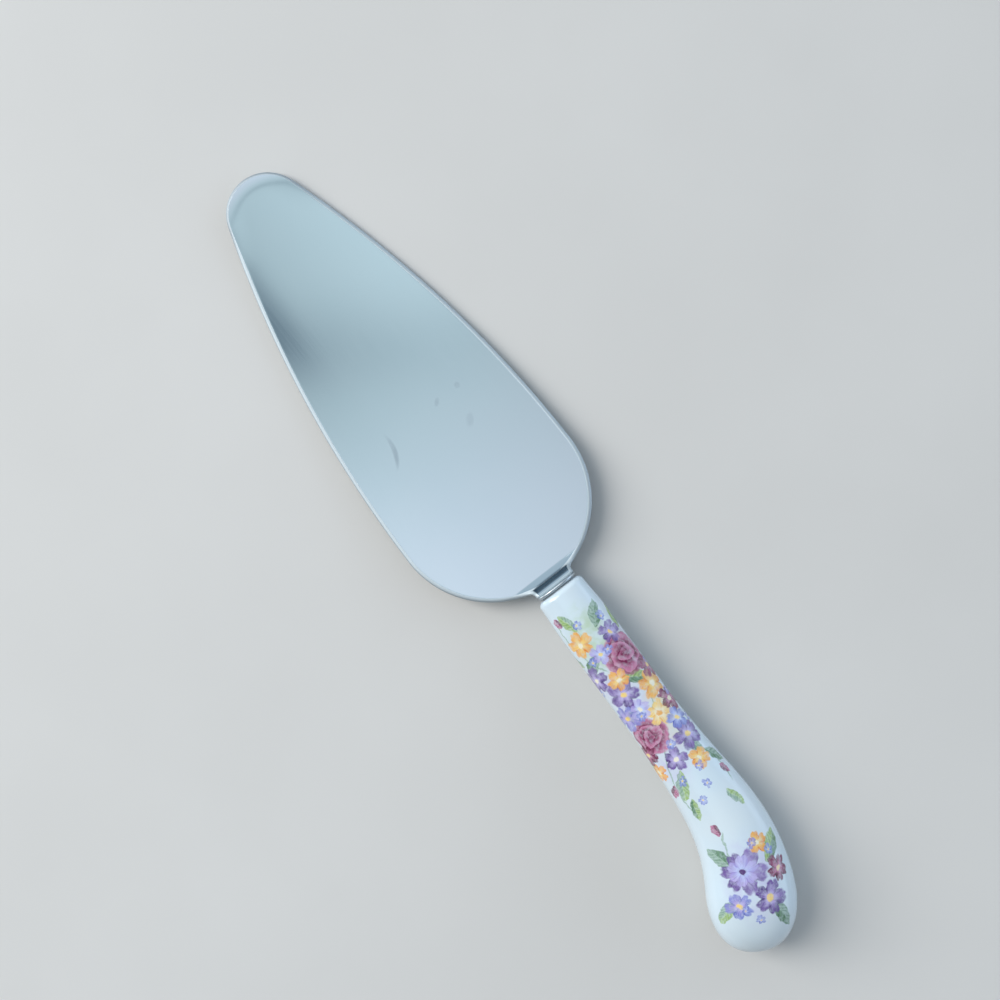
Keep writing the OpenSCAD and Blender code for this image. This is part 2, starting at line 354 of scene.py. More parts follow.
# Soft smear or speck: a mask that fades out from a place, longer along its turn, with ends bowed aside
SMEAR_FADE = (0.15, 0.5)
smear, given, result = new_group(
    "smear",
    SURFACE_INPUTS + PLACE_INPUTS + [("Length", "Float"), ("Width", "Float"), ("Bow", "Float")],
    [("Mask", "Float")],
)
x, y = own_place(smear, given)
along = calc(smear, "DIVIDE", x, given["Length"])
bowed = calc(smear, "MULTIPLY_ADD", calc(smear, "MULTIPLY", along, along), given["Bow"], y)
aside = calc(smear, "DIVIDE", bowed, given["Width"])
squares = calc(smear, "MULTIPLY_ADD", along, along, calc(smear, "MULTIPLY", aside, aside))
wire(smear, result["Mask"], fade(smear, calc(smear, "SQRT", squares), *SMEAR_FADE, 1, 0))

# Brushing: fine lines along the blade, as a value round one half
BRUSH_STRETCH = (0.03, 1, 0.3)
brushing, given, result = new_group(
    "brushing", [("Point", "Vector"), ("Fineness", "Float")], [("Lines", "Float")]
)
stretched = add(brushing, "Mapping", {"Vector": given["Point"], "Scale": BRUSH_STRETCH}).outputs[0]
wire(brushing, result["Lines"], noise(brushing, stretched, given["Fineness"], detail=4))

# Satin steel: brushed lengthwise, a little cloudy, and softer where the edge is tumbled, with painted
# shade on it
SATIN_STEEL = (0.600, 0.682, 0.722, 1)
PALE_STEEL = (0.612, 0.690, 0.728, 1)
CLOUD_FINENESS = 38
CLOUD_FADE = (0.3, 0.7)
EDGE_SHADE_STEEL = (0.52, 0.58, 0.61, 1)
TUMBLED_AND_SHADED_FADE = (0.75, 1.1)
TIP_EDGE_SHADE_STEEL = (0.44, 0.49, 0.52, 1)
TIP_EDGE_FROM = 0.018
TIP_EDGE_FULL = 0.009
SATIN_ROUGH = 0.06
LINE_ROUGH = 0.05
SMEAR_ROUGH = 0.12
EDGE_ROUGH = 0.65
LINE_FINENESS = 2600
LINE_BUMP = 0.012
LINE_DEPTH = 0.00005

# Wear: a bowed scuff and three specks on the upper face, and a painted dark reflection in the upward
# bend
DULL_STEEL = (0.24, 0.29, 0.33, 1)
WIPE_FINENESS = 160
MARK_FADE = (0.35, 0.6)
MARK_COVER = (0.35, 0.8)
MARK_STRENGTH = 0.5
UPWARD_FADE = (0, 0.5)
CRANK_SHADE_STEEL = (0.20, 0.27, 0.32, 1)
CRANK_SHADE_TURN = radians(43)
CRANK_SHADE_EDGE = 0.0004
CRANK_SHADE_FADE = (0.2, 0.6)
CRANK_SHADE_COVER = (0.7, 1)
SCUFF = {"place": (0.0427, 0.0124), "turn": 163, "length": 0.0125, "width": 0.0019, "bow": 0.006}
SPECKS = [
    (1.0, {"place": (0.0466, -0.0124), "turn": -38, "length": 0.0024, "width": 0.0022}),
    (0.9, {"place": (0.0463, -0.0051), "turn": -45, "length": 0.0034, "width": 0.0017}),
    (0.6, {"place": (0.0368, -0.0093), "turn": -38, "length": 0.0054, "width": 0.0030}),
]
steel, tree, shader = new_material("satin_steel")
coordinates = add(tree, "TexCoord").outputs
point = coordinates["Object"]
facing = add(tree, "SeparateXYZ", {0: coordinates["Normal"]}).outputs["Z"]
edge = add(tree, "Attribute", attribute_name="edge_share").outputs["Fac"]
lines = use(tree, brushing, Point=point, Fineness=LINE_FINENESS)["Lines"]
clouds = noise(tree, point, CLOUD_FINENESS, detail=3)
wipes = noise(tree, point, WIPE_FINENESS, detail=5)
colour = tint(tree, fade(tree, clouds, *CLOUD_FADE), SATIN_STEEL, PALE_STEEL)
parts = add(tree, "SeparateXYZ", {0: point}).outputs
on_leaf = {"Along": parts["X"], "Aside": parts["Y"]}


def mark(place, turn, length, width, bow=0.0):
    shape = {"Turn": radians(turn), "Length": length, "Width": width, "Bow": bow}
    return use(tree, smear, **on_leaf, PlaceAlong=place[0], PlaceAside=place[1], **shape)["Mask"]


marks = mark(**SCUFF)
for strength, shape in SPECKS:
    marks = calc(tree, "MAXIMUM", marks, calc(tree, "MULTIPLY", mark(**shape), strength))
marks = calc(tree, "MULTIPLY", marks, fade(tree, wipes, *MARK_FADE, *MARK_COVER))
marks = calc(tree, "MULTIPLY", marks, fade(tree, facing, *UPWARD_FADE))
colour = tint(tree, calc(tree, "MULTIPLY", marks, MARK_STRENGTH), colour, DULL_STEEL)
# Painted dark reflection: the steep part of the upward bend is coloured dark, a little mottled
crank_shade_low_x = tip_place + up_end_x
crank_shade_high_x = tip_place + (up_x - up_mid_r * sin(CRANK_SHADE_TURN))
bend_start = fade(tree, parts["X"], crank_shade_low_x - CRANK_SHADE_EDGE, crank_shade_low_x)
bend_end = fade(tree, parts["X"], crank_shade_high_x, crank_shade_high_x + CRANK_SHADE_EDGE, 1, 0)
in_bend = calc(tree, "MULTIPLY", bend_start, bend_end)
crank_shade = calc(tree, "MULTIPLY", in_bend, fade(tree, wipes, *CRANK_SHADE_FADE, *CRANK_SHADE_COVER))
colour = tint(tree, crank_shade, colour, CRANK_SHADE_STEEL)
# Painted shade: the tumbled edge is coloured darker, most near the tip, to dim its highlight
tumbled_and_shaded = fade(tree, edge, *TUMBLED_AND_SHADED_FADE, 1, 0)
near_tip = fade(tree, parts["X"], tip_place - TIP_EDGE_FROM, tip_place - TIP_EDGE_FULL)
colour = tint(tree, tumbled_and_shaded, colour, tint(tree, near_tip, EDGE_SHADE_STEEL, TIP_EDGE_SHADE_STEEL))
satin = calc(tree, "MULTIPLY_ADD", lines, LINE_ROUGH, SATIN_ROUGH)
rough = calc(tree, "MULTIPLY_ADD", marks, SMEAR_ROUGH, satin)
rough = calc(tree, "MAXIMUM", rough, calc(tree, "MULTIPLY", tumbled_and_shaded, EDGE_ROUGH))
shader.inputs["Metallic"].default_value = 1
wire(tree, shader.inputs["Base Color"], colour)
wire(tree, shader.inputs["Roughness"], rough)
wire(tree, shader.inputs["Normal"], raised(tree, lines, LINE_BUMP, LINE_DEPTH))
blade.data.materials.append(steel)
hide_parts("blade")
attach(blade, "root")

# Collar: a thin oval steel plate with a half-round rim, punched with a slot and threaded over the tang.
# The shoulders of the blade press it on the cement. Its rim shows as a narrow light band.
COLLAR_SIDES = 96
RIM_STEPS = 14
SLOT_FIT = 0.0001
FLAT_FACE = 0.999
collar_t = collar_high.x - collar_low.x
collar_half_h = (collar_high.z - collar_low.z) / 2
collar_flat = collar_high.y - collar_half_h
slot_half_w = TANG_W / 2 + SLOT_FIT
slot_half_h = half_t + SLOT_FIT


def draw_out(mesh, rings):
    """Extrudes a circle from ring to ring, each a list of points, and numbers its sides and rings."""
    side_layer = mesh.verts.layers.int.new("side")
    ring_layer = mesh.verts.layers.int.new("ring")
    verts = bmesh.ops.create_circle(mesh, segments=len(rings[0]), radius=1)["verts"]
    for side, vert in enumerate(verts):
        vert[side_layer] = side
    edges = list(mesh.edges)
    for number, points in enumerate(rings):
        if number:
            made = bmesh.ops.extrude_edge_only(mesh, edges=edges)["geom"]
            verts = {part for part in made if isinstance(part, bmesh.types.BMVert)}
            edges = [e for e in made if isinstance(e, bmesh.types.BMEdge) and verts.issuperset(e.verts)]
        for vert in verts:
            vert.co = points[vert[side_layer]]
            vert[ring_layer] = number
    return side_layer, ring_layer


SORT_WAY = Vector((1, 0.61, 0.37))


def set_order(mesh):
    """Sorts vertices and faces by place, because extruding leaves them in no set order."""
    mesh.verts.sort(key=lambda vert: vert.co.dot(SORT_WAY))
    mesh.faces.sort(key=lambda face: face.calc_center_median().dot(SORT_WAY))


def collar_ring(x, radius):
    """Round-ended oval, or the mouth of the slot where no radius is given."""
    points = []
    for i in range(COLLAR_SIDES):
        q = tau * (i + 0.5) / COLLAR_SIDES
        end = collar_flat if cos(q) > 0 else -collar_flat
        y, z = end + (radius or collar_half_h) * cos(q), (radius or collar_half_h) * sin(q)
        if not radius:
            inwards = min(slot_half_w / abs(y), slot_half_h / abs(z))
            y, z = y * inwards, z * inwards
        points.append((x, y, axis_z + z))
    return points


rim_r = collar_t / 2
rim_x = collar_low.x + rim_r
collar_rings = [collar_ring(collar_high.x, 0)]
for turn in [0] + rows_between(0, pi, RIM_STEPS):
    radius = collar_half_h - rim_r + rim_r * sin(turn)
    collar_rings.append(collar_ring(rim_x + rim_r * cos(turn), radius))
collar_rings.append(collar_ring(collar_low.x, 0))
collar_rings.append(collar_rings[0])
plate = bmesh.new()
draw_out(plate, collar_rings)
bmesh.ops.remove_doubles(plate, verts=plate.verts, dist=SAME_PLACE)
bmesh.ops.recalc_face_normals(plate, faces=plate.faces)
for side in plate.faces:
    side.smooth = abs(side.normal.x) < FLAT_FACE
set_order(plate)
collar = new_piece("oval_collar", plate)

# Collar steel: finer lines than on the leaf, and faint tarnish
COLLAR_STEEL = (0.54, 0.59, 0.62, 1)
COLLAR_SHADE = (0.46, 0.51, 0.55, 1)
TARNISH_FINENESS = 420
TARNISH_FADE = (0.45, 0.75)
COLLAR_ROUGH = 0.38
COLLAR_LINE_ROUGH = 0.08
COLLAR_LINE_FINENESS = 9000
COLLAR_LINE_BUMP = 0.004
bright_steel, tree, shader = new_material("bright_collar_steel")
point = add(tree, "TexCoord").outputs["Object"]
lines = use(tree, brushing, Point=point, Fineness=COLLAR_LINE_FINENESS)["Lines"]
tarnish = fade(tree, noise(tree, point, TARNISH_FINENESS, detail=2), *TARNISH_FADE)
rough = calc(tree, "MULTIPLY_ADD", lines, COLLAR_LINE_ROUGH, COLLAR_ROUGH)
shader.inputs["Metallic"].default_value = 1
wire(tree, shader.inputs["Base Color"], tint(tree, tarnish, COLLAR_STEEL, COLLAR_SHADE))
wire(tree, shader.inputs["Roughness"], rough)
wire(tree, shader.inputs["Normal"], raised(tree, lines, COLLAR_LINE_BUMP, LINE_DEPTH))
collar.data.materials.append(bright_steel)
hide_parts("collar")
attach(collar, "root")

# Cement: a grey compound that beds the collar on the mouth and fills the socket round the tang.
# Only its edge shows, as a matt joint line a little back from the porcelain.
CEMENT_GREY = (0.38, 0.41, 0.43, 1)
CEMENT_PALE = (0.48, 0.505, 0.52, 1)
GRIT_FINENESS = 1800
GRIT_COARSE = 0.7
GRIT_FADE = (0.35, 0.75)
GRIT_BUMP = 0.4
GRIT_DEPTH = 0.0002
CEMENT_FADE = (0.2, 0.8)
CEMENT_ROUGH = (0.75, 0.95)
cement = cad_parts["cement"]
compound, tree, shader = new_material("matt_cement")
point = add(tree, "TexCoord").outputs["Object"]
grit = noise(tree, point, GRIT_FINENESS, detail=6, Roughness=GRIT_COARSE)
pale_grit = fade(tree, grit, *GRIT_FADE)
wire(tree, shader.inputs["Base Color"], tint(tree, pale_grit, CEMENT_GREY, CEMENT_PALE))
wire(tree, shader.inputs["Roughness"], fade(tree, grit, *CEMENT_FADE, *CEMENT_ROUGH))
wire(tree, shader.inputs["Normal"], raised(tree, grit, GRIT_BUMP, GRIT_DEPTH))
cement.material_slots[0].material = compound

# Handle: a hollow slip-cast porcelain body with a rounded mouth, a straight oval grip and a swelling
# butt that turns to one side. It is glazed over flower prints and holds the tang in cement.
GRIP_LEN = 0.1145
MOUTH_W = 0.0142
MOUTH_H = 0.0112
MOUTH_TAPER = 0.012
MOUTH_ROUND = 0.0016
GRIP_W = 0.0152
GRIP_H = 0.0124
SWELL_FROM = 0.0385
BUTT_W = 0.026
BUTT_H = 0.021
BUTT_ROUND = 0.019
GRIP_LEAN = radians(1.3)
BUTT_TURN = radians(32)
TURN_FROM = 0.064
TURN_TO = 0.108
WALL_T = 0.0028
OVAL_POWER = 2.2
ROUND_POWER = 2.3
RING_SIDES = 96
PATH_STEPS = 48
mouth_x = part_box("handle")[1].x
round_from = GRIP_LEN - BUTT_ROUND


def swell(dist, mouth, grip, butt):
    to_butt = ease((dist - SWELL_FROM) / (GRIP_LEN - SWELL_FROM))
    return (mouth + (grip - mouth) * ease(dist / MOUTH_TAPER) + (butt - grip) * to_butt) / 2


def lean(dist):
    turned = ease((dist - TURN_FROM) / (TURN_TO - TURN_FROM))
    return GRIP_LEAN * ease(dist / MOUTH_TAPER) + BUTT_TURN * turned


def middle(dist):
    """Point of the bent middle line at a distance from the mouth."""
    leans = [lean(dist * (i + 0.5) / PATH_STEPS) for i in range(PATH_STEPS)]
    back = sum(cos(a) for a in leans) * dist / PATH_STEPS
    aside = sum(sin(a) for a in leans) * dist / PATH_STEPS
    return Vector((mouth_x - back, aside, axis_z))


def rounding(dist, end, length):
    share = min(1, max(0, (dist - end + length) / length))
    return (1 - share ** ROUND_POWER) ** (1 / ROUND_POWER)


def oval_points(half_w, half_h):
    """Slightly squared oval, from its lowest point up the far side and back down the near side."""
    points = []
    for i in range(RING_SIDES + 1):
        q = tau * i / RING_SIDES - pi / 2
        y, z = (abs(c) ** (2 / OVAL_POWER) * (1 if c > 0 else -1) for c in (-cos(q), sin(q)))
        points.append(Vector((0, y * half_w, z * half_h)))
    return points


def lengths_round(points):
    """Length round a ring to each of its points, counted from the top."""
    lengths = [0]
    for a, b in zip(points, points[1:]):
        lengths.append(lengths[-1] + (b - a).length)
    return [length - lengths[RING_SIDES // 2] for length in lengths]


def skin_ring(dist, end, length, inset):
    scale = rounding(dist, end, length)
    half_w = (swell(dist, MOUTH_W, GRIP_W, BUTT_W) - inset) * scale
    half_h = (swell(dist, MOUTH_H, GRIP_H, BUTT_H) - inset) * scale
    return dist, half_w, half_h


# Rings from the closed end of the cavity to the mouth, over its rounded edge and back to the butt
CAVITY_END_RINGS = 12
CAVITY_RINGS = 24
MOUTH_RINGS = 10
GRIP_RINGS = 70
BUTT_RINGS = 28
POLE_GAP = radians(3)
cavity_end = GRIP_LEN - WALL_T
cavity_round = BUTT_ROUND - WALL_T
rings = []
for turn in rows_between(POLE_GAP, pi / 2, CAVITY_END_RINGS):
    rings.append(skin_ring(round_from + cavity_round * cos(turn), cavity_end, cavity_round, WALL_T))
for dist in rows_between(round_from, 0, CAVITY_RINGS):
    rings.append(skin_ring(dist, cavity_end, cavity_round, WALL_T))
rings.append(skin_ring(0, GRIP_LEN, BUTT_ROUND, MOUTH_ROUND))
for turn in rows_between(pi / 2, 0, MOUTH_RINGS):
    inset = MOUTH_ROUND * (1 - cos(turn))
    rings.append(skin_ring(MOUTH_ROUND * (1 - sin(turn)), GRIP_LEN, BUTT_ROUND, inset))
for dist in rows_between(MOUTH_ROUND, round_from, GRIP_RINGS):
    rings.append(skin_ring(dist, GRIP_LEN, BUTT_ROUND, 0))
for turn in rows_between(0, pi / 2 - POLE_GAP, BUTT_RINGS):
    rings.append(skin_ring(round_from + BUTT_ROUND * sin(turn), GRIP_LEN, BUTT_ROUND, 0))

cast = bmesh.new()
skin_map = cast.loops.layers.uv.new("skin")
ring_places = []
ring_lengths = []
for dist, half_w, half_h in rings:
    points = oval_points(half_w, half_h)
    seat = Matrix.Translation(middle(dist)) @ Matrix.Rotation(-lean(dist), 4, "Z")
    ring_places.append([seat @ point for point in points[:-1]])
    ring_lengths.append(lengths_round(points))
side_layer, ring_layer = draw_out(cast, ring_places)

# Each open end is closed by a fan to a point on the middle line
open_edges = [e for e in cast.edges if e.is_boundary]
lids = bmesh.ops.holes_fill(cast, edges=open_edges, sides=0)["faces"]
poles = bmesh.ops.poke(cast, faces=lids)["verts"]
butt_pole = min(poles, key=lambda vert: vert.co.x)
cavity_pole = max(poles, key=lambda vert: vert.co.x)
butt_pole.co = middle(GRIP_LEN)
cavity_pole.co = middle(cavity_end)
butt_pole[ring_layer] = len(rings) - 1
bmesh.ops.recalc_face_normals(cast, faces=cast.faces)

# Map of the skin for the prints: distance from the mouth, and length round from the top line
for face in cast.faces:
    face.smooth = True
    sides = [loop.vert[side_layer] for loop in face.loops]
    crosses_seam = max(sides) - min(sides) > RING_SIDES / 2
    for loop, side in zip(face.loops, sides):
        number = loop.vert[ring_layer]
        if crosses_seam and side == 0:
            side = RING_SIDES
        aside = 0 if loop.vert in (butt_pole, cavity_pole) else ring_lengths[number][side]
        loop[skin_map].uv = rings[number][0], aside
set_order(cast)
handle = new_piece("porcelain_handle", cast)

# The prints are motifs on the map of the skin, in millimetres. Each sees the skin from its own middle
MOTIF_INPUTS = SURFACE_INPUTS + PLACE_INPUTS + [("Size", "Float")]
MOTIF_OUTPUTS = [("Colour", "Color"), ("Mask", "Float")]


def own_circle(tree, given):
    """Distance from a motif's middle, as a share of its size, and the angle round it."""
    x, y = own_place(tree, given)
    squares = calc(tree, "MULTIPLY_ADD", x, x, calc(tree, "MULTIPLY", y, y))
    return calc(tree, "DIVIDE", calc(tree, "SQRT", squares), given["Size"]), calc(tree, "ARCTAN2", y, x)


# Blossom: notched petals of unequal length, pale at the heart, veined, and shaded along one side.
# Lengths are shares of its size, and across a petal 0 is its middle and 1 its seam
PETAL_SHORTEST = 0.8
PETAL_SPREAD = 0.2
PETAL_WAIST = 0.42
WAIST_POWER = 2.6
PETAL_NOTCH_W = 0.3
PETAL_NOTCH = 0.09
PETAL_FADE = (0.12, 0.85)
PETAL_LIGHT = 0.35
SIDE_FADE = (-0.1, 0.5)
SIDE_SHADE = 0.55
SEAM_FADE = (0.7, 1)
SEAM_SHADE = 0.6
VEINS_ROUND = 7
VEINS_APART = 3.7
VEIN_FADE = (0.45, 0.75)
VEIN_SHADE = 0.6
HEART_FADE = (0.2, 0.36)
HEART_LIGHT = 0.6
EYE_FADE = (0.13, 0.2)
BLOSSOM_EDGE = (0.88, 1.02)
blossom, given, result = new_group(
    "blossom",
    MOTIF_INPUTS + [("Petals", "Float"), ("Rim", "Color"), ("Heart", "Color"), ("Eye", "Color")],
    MOTIF_OUTPUTS,
)
reach, angle = own_circle(blossom, given)
turns = calc(blossom, "MULTIPLY_ADD", angle, 1 / tau, 1)
sector = calc(blossom, "MULTIPLY", turns, given["Petals"])
side = calc(blossom, "SUBTRACT", calc(blossom, "FRACT", sector), 0.5)
aside = calc(blossom, "ABSOLUTE", calc(blossom, "MULTIPLY", side, 2))
number = calc(blossom, "ADD", calc(blossom, "FLOOR", sector), given["Turn"])
chance = add(blossom, "TexWhiteNoise", {"W": number}, noise_dimensions="1D").outputs["Value"]
length = calc(blossom, "MULTIPLY_ADD", chance, PETAL_SPREAD, PETAL_SHORTEST)
waist = calc(blossom, "MULTIPLY_ADD", calc(blossom, "POWER", aside, WAIST_POWER), -PETAL_WAIST, 1)
notch = fade(blossom, aside, 0, PETAL_NOTCH_W, PETAL_NOTCH, 0)
outline = calc(blossom, "SUBTRACT", calc(blossom, "MULTIPLY", length, waist), notch)
share = calc(blossom, "DIVIDE", reach, outline)
petal = tint(blossom, fade(blossom, share, *PETAL_FADE), given["Heart"], given["Rim"])
side_shade = fade(blossom, side, *SIDE_FADE, 0, SIDE_SHADE)
shaded = tint(blossom, side_shade, petal, given["Rim"], "MULTIPLY")
seam_shade = fade(blossom, aside, *SEAM_FADE, 0, SEAM_SHADE)
creased = tint(blossom, seam_shade, shaded, given["Rim"], "MULTIPLY")
first_ray = calc(blossom, "MULTIPLY", number, VEINS_APART)
ray = calc(blossom, "MULTIPLY_ADD", angle, VEINS_ROUND, first_ray)
veins = add(blossom, "TexNoise", {"W": ray, "Scale": 1, "Detail": 2}, noise_dimensions="1D")
vein_shade = fade(blossom, veins.outputs["Fac"], *VEIN_FADE, 0, VEIN_SHADE)
veined = tint(blossom, vein_shade, creased, given["Rim"], "MULTIPLY")
lit = tint(blossom, calc(blossom, "MULTIPLY", chance, PETAL_LIGHT), veined, given["Heart"])
ringed = tint(blossom, fade(blossom, reach, *HEART_FADE, HEART_LIGHT, 0), lit, given["Heart"])
eyed = tint(blossom, fade(blossom, reach, *EYE_FADE, 1, 0), ringed, given["Eye"])
wire(blossom, result["Colour"], eyed)
wire(blossom, result["Mask"], fade(blossom, share, *BLOSSOM_EDGE, 1, 0))

# Rose: petals that wind out from the middle, each dark in its fold and light along its curled edge
ROSE_LOBES = 5
ROSE_SCALLOP = 0.14
PETAL_WAVES = 3
WAVE_TWIST = 5
WAVE_DEPTH = 0.16
WINDINGS = 2.6
WHOLE_TURNS = 2
CURL_FADE = (0.05, 0.9)
OUTER_FADE = (0.45, 1)
OUTER_LIGHT = 0.4
CORE_FADE = (0, 0.4)
CORE_SHADE = 0.75
ROSE_EDGE = (0.9, 1.02)
rose, given, result = new_group(
    "rose", MOTIF_INPUTS + [("Rim", "Color"), ("Fold", "Color")], MOTIF_OUTPUTS
)
reach, angle = own_circle(rose, given)
lobes = calc(rose, "COSINE", calc(rose, "MULTIPLY", angle, ROSE_LOBES / 2))
scallop = calc(rose, "ABSOLUTE", lobes)
outline = calc(rose, "MULTIPLY_ADD", scallop, ROSE_SCALLOP, 1 - ROSE_SCALLOP)
share = calc(rose, "DIVIDE", reach, outline)
twist = calc(rose, "MULTIPLY", share, WAVE_TWIST)
wave = calc(rose, "SINE", calc(rose, "MULTIPLY_ADD", angle, PETAL_WAVES, twist))
wound = calc(rose, "MULTIPLY_ADD", angle, 1 / tau, calc(rose, "MULTIPLY", share, WINDINGS))
turns = calc(rose, "ADD", wound, WHOLE_TURNS)
curl = calc(rose, "FRACT", calc(rose, "MULTIPLY_ADD", wave, WAVE_DEPTH, turns))
petal = tint(rose, fade(rose, curl, *CURL_FADE), given["Fold"], given["Rim"])
outer = tint(rose, fade(rose, share, *OUTER_FADE, 0, OUTER_LIGHT), petal, given["Rim"])
core = tint(rose, fade(rose, share, *CORE_FADE, CORE_SHADE, 0), outer, given["Fold"])
wire(rose, result["Colour"], core)
wire(rose, result["Mask"], fade(rose, share, *ROSE_EDGE, 1, 0))

# Leaf: a pointed oval from its base, one half darker, with a pale rib and slanting veins
LEAF_FULLNESS = 0.8
HALF_FADE = (-0.3, 0.3)
LEAF_VEINS = 7
VEIN_SLANT = 0.9
LEAF_VEIN_FADE = (0.1, 0.4)
LEAF_VEIN_SHADE = 0.45
LEAF_TIP_FADE = (0.55, 1)
LEAF_TIP_LIGHT = 0.5
RIB_FADE = (0.05, 0.2)
RIB_LIGHT = 0.45
LEAF_EDGE = 0.3
leaf, given, result = new_group(
    "leaf", MOTIF_INPUTS + [("Width", "Float"), ("Green", "Color"), ("Shade", "Color")], MOTIF_OUTPUTS
)
x, y = own_place(leaf, given)
along = calc(leaf, "DIVIDE", x, given["Size"])
taper = calc(leaf, "MULTIPLY", along, calc(leaf, "SUBTRACT", 1, along))
arch = calc(leaf, "MULTIPLY", calc(leaf, "MAXIMUM", taper, 0), 4)
fullness = calc(leaf, "POWER", arch, LEAF_FULLNESS)
outline = calc(leaf, "MULTIPLY", fullness, calc(leaf, "MULTIPLY", given["Width"], 0.5))
aside = calc(leaf, "ABSOLUTE", y)
halves = tint(leaf, fade(leaf, y, *HALF_FADE), given["Green"], given["Shade"])
slant = calc(leaf, "MULTIPLY_ADD", along, LEAF_VEINS, calc(leaf, "MULTIPLY", aside, -VEIN_SLANT))
veins = calc(leaf, "PINGPONG", slant, 0.5)
vein_shade = fade(leaf, veins, *LEAF_VEIN_FADE, LEAF_VEIN_SHADE, 0)
veined = tint(leaf, vein_shade, halves, given["Shade"], "MULTIPLY")
tipped = tint(leaf, fade(leaf, along, *LEAF_TIP_FADE, 0, LEAF_TIP_LIGHT), veined, given["Green"])
ribbed = tint(leaf, fade(leaf, aside, *RIB_FADE, RIB_LIGHT, 0), tipped, given["Green"], "SCREEN")
wire(leaf, result["Colour"], ribbed)
wire(leaf, result["Mask"], fade(leaf, calc(leaf, "SUBTRACT", outline, aside), 0, LEAF_EDGE))

# Stem: a thin bowed line that tapers out at its ends
STEM_START = (0, 0.05)
STEM_END = (0.9, 1)
STEM_EDGE = (0.1, 0.34)
stem, given, result = new_group(
    "stem", MOTIF_INPUTS + [("Bow", "Float"), ("Green", "Color")], MOTIF_OUTPUTS
)
x, y = own_place(stem, given)
along = calc(stem, "DIVIDE", x, given["Size"])
taper = calc(stem, "MULTIPLY", along, calc(stem, "SUBTRACT", 1, along))
bowed = calc(stem, "MULTIPLY", taper, calc(stem, "MULTIPLY", given["Bow"], 4))
aside = calc(stem, "ABSOLUTE", calc(stem, "SUBTRACT", y, bowed))
ends = calc(stem, "MULTIPLY", fade(stem, along, *STEM_START), fade(stem, along, *STEM_END, 1, 0))
wire(stem, result["Colour"], given["Green"])
wire(stem, result["Mask"], calc(stem, "MULTIPLY", ends, fade(stem, aside, *STEM_EDGE, 1, 0)))

# Colours of the prints, and the motifs in the order they are laid down. Each gives its distance from the
# mouth and its length round from the top line in millimetres, its turn in degrees and its size in
# millimetres, then its width, bow or petals, and its colours. A filler gives its place alone
GREEN = (0.36, 0.52, 0.17, 1)
GREY_GREEN = (0.31, 0.45, 0.35, 1)
DEEP_GREEN = (0.13, 0.27, 0.14, 1)
LILAC = (0.52, 0.44, 0.76, 1)
PURPLE = (0.15, 0.075, 0.31, 1)
PLUM = (0.09, 0.03, 0.16, 1)
PINK = (0.55, 0.20, 0.34, 1)
CRIMSON = (0.18, 0.010, 0.065, 1)
ORANGE = (0.86, 0.43, 0.12, 1)
YELLOW = (0.92, 0.66, 0.22, 1)
CREAM = (0.90, 0.83, 0.62, 1)
BLUE = (0.20, 0.24, 0.62, 1)
SKY = (0.55, 0.62, 0.90, 1)
SKIN_TO_MM = 1000
WASHES = [
    (16, 1, 10, 26, 14, GREEN), (25, -4, 30, 22, 14, PINK), (33, 4, -20, 26, 15, LILAC),
    (44, -3, 15, 24, 14, YELLOW), (52, 3, 10, 26, 14, LILAC), (93, 0, 0, 30, 20, LILAC),
]
STEMS = [
    (7, 7, -14, 20, 2.0), (20, -8, 20, 24, -2.0), (50, 2, 12, 22, 2.5), (52, -3, -16, 18, -2.0),
    (78, 3, -8, 16, 2.0), (96, -4, -30, 11, 1.5),
]
LEAVES = [
    (12, 3, 165, 7.0, 3.4), (14, -2, -150, 8.0, 3.6), (18, -8, -165, 8.0, 3.4), (21, 8, 125, 7.0, 3.2),
    (20, 2, 60, 7.5, 3.6), (29, 1, -65, 8.5, 4.0), (30, -9, -40, 7.5, 3.4), (39, 9, 60, 7.5, 3.4),
    (40, 1, 100, 7.0, 3.2), (43, -9, -110, 6.5, 3.0), (50, -3, -20, 8.5, 3.8), (52, 9, 45, 7.5, 3.2),
    (58, 3, 25, 9.0, 3.8), (57, -6, -35, 8.0, 3.2), (66, 5, 15, 7.0, 2.8), (69, -4, -25, 6.5, 2.4),
    (89, 4, 145, 9.5, 4.6), (90, -5, -140, 9.0, 4.4), (98, 6, 35, 8.5, 4.2), (99, -5, -30, 9.0, 4.0),
]
BUDS = [(9, 6, 165, 3.6, 2.4), (61, 7, 40, 4.2, 2.6), (63, -7, -30, 4.0, 2.4), (79, 4, 170, 4.0, 2.6)]
ROSES = [(24, -4, 10, 6.4), (46.5, 4, 120, 5.8)]
